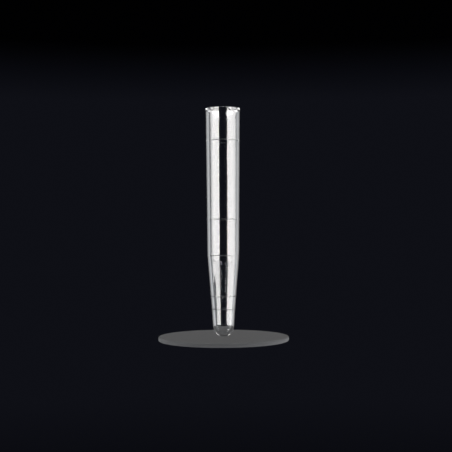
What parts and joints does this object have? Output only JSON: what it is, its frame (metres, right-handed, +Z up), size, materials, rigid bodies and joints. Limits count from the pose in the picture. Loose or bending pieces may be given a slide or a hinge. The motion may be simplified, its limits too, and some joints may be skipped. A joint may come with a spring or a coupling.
{
  "type": "test tube",
  "caption": "Clear moulded test tube with an open mouth, a thin lip, a straight barrel that narrows to a cone, a round end, and raised graduation rings around the wall.",
  "frame": {"origin": "middle of the small flat at the lowest point of the round end, on the tube's axis", "axes": "+Z up along the tube's axis, from the round end to the mouth; +X and +Y are any two directions across it, because the tube is the same all round"},
  "size_m": [0.0164, 0.0164, 0.105],
  "materials": {
    "clear_polystyrene": "clear, colourless, polished in the mould"
  },
  "bodies": {
    "root": {"tube_body": "clear_polystyrene", "graduation_ring_10_ml": "clear_polystyrene", "graduation_ring_5_ml": "clear_polystyrene", "graduation_ring_2_5_ml": "clear_polystyrene", "graduation_ring_1_ml": "clear_polystyrene", "graduation_ring_0_5_ml": "clear_polystyrene"}
  },
  "joints": []
}
